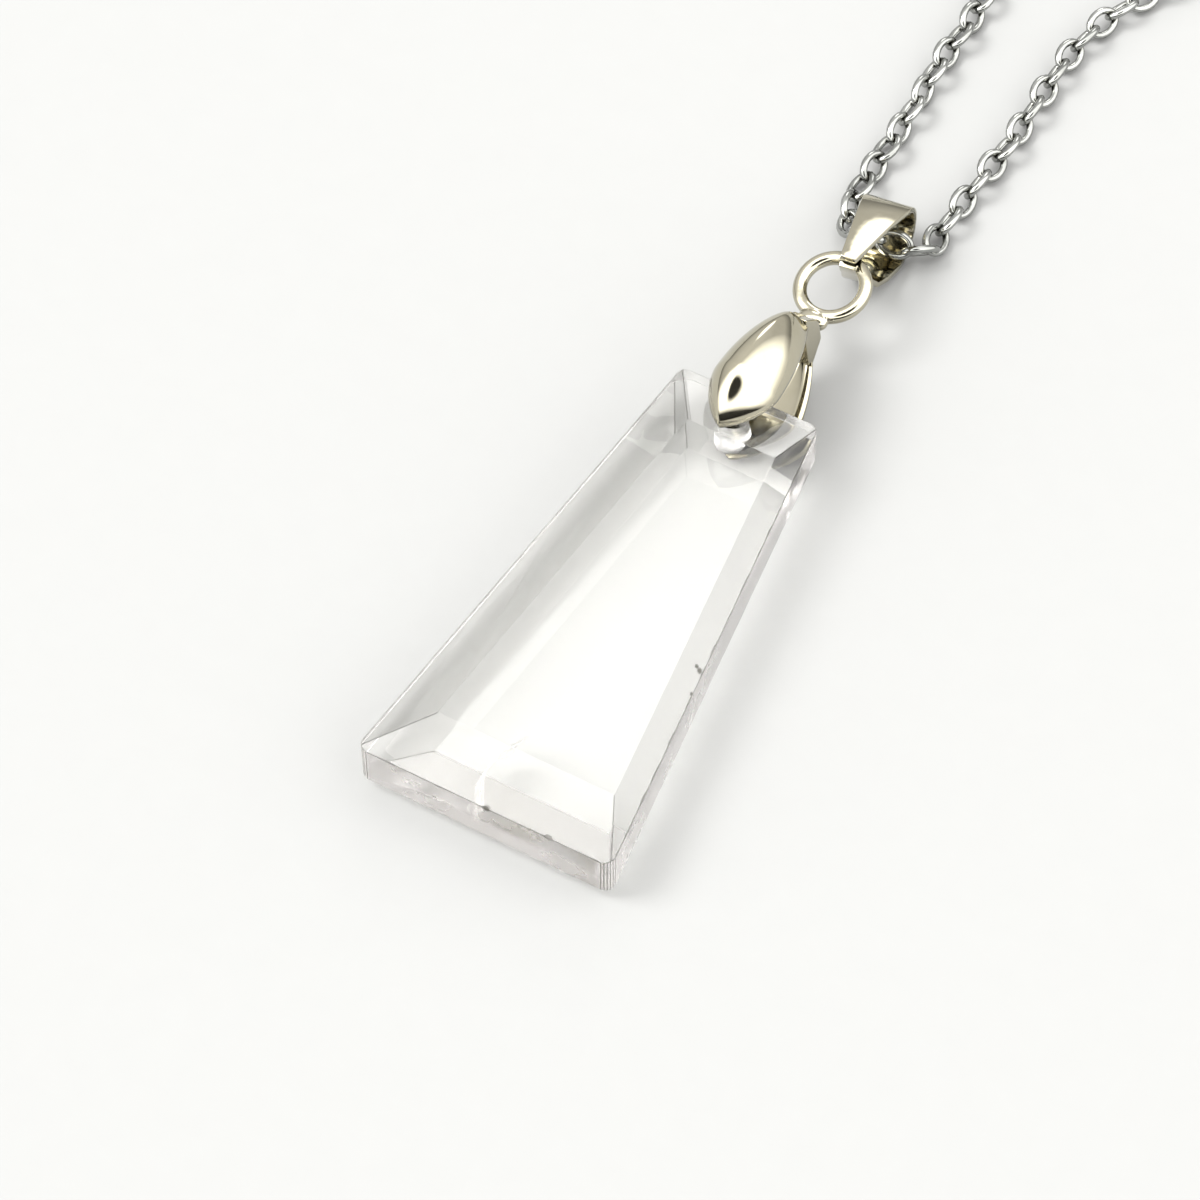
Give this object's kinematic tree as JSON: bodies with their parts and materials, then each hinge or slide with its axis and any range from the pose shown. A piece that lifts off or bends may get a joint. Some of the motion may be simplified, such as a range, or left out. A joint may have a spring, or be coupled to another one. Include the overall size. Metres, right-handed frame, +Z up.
{
  "type": "gemstone necklace",
  "caption": "Necklace with a tapered, bevelled slab of clear quartz on a plated pinch bail with a ring, a folded strip bail and a fine cable chain, laid out flat.",
  "frame": {"origin": "middle of the box round the whole necklace as it lies, on the surface it lies on", "axes": "+Y runs along the pendant from its foot to its head and on across the chain's loop to the clasp, +X to the right of it seen from above, +Z up from the surface"},
  "size_m": [0.1124, 0.2362, 0.0097],
  "materials": {
    "quartz": "clear rock crystal with faint veils, polished faces and worn, slightly chipped edges",
    "warm_plate": "bright plated metal with a faint warm, yellowish tone, polished, with a few casting pits",
    "steel": "bright cool wire links with dark crevices"
  },
  "bodies": {
    "root": {"stone": "quartz", "pinch_bail": "warm_plate", "snap_bail": "warm_plate", "chain": "steel", "clasp": "steel"}
  },
  "joints": []
}
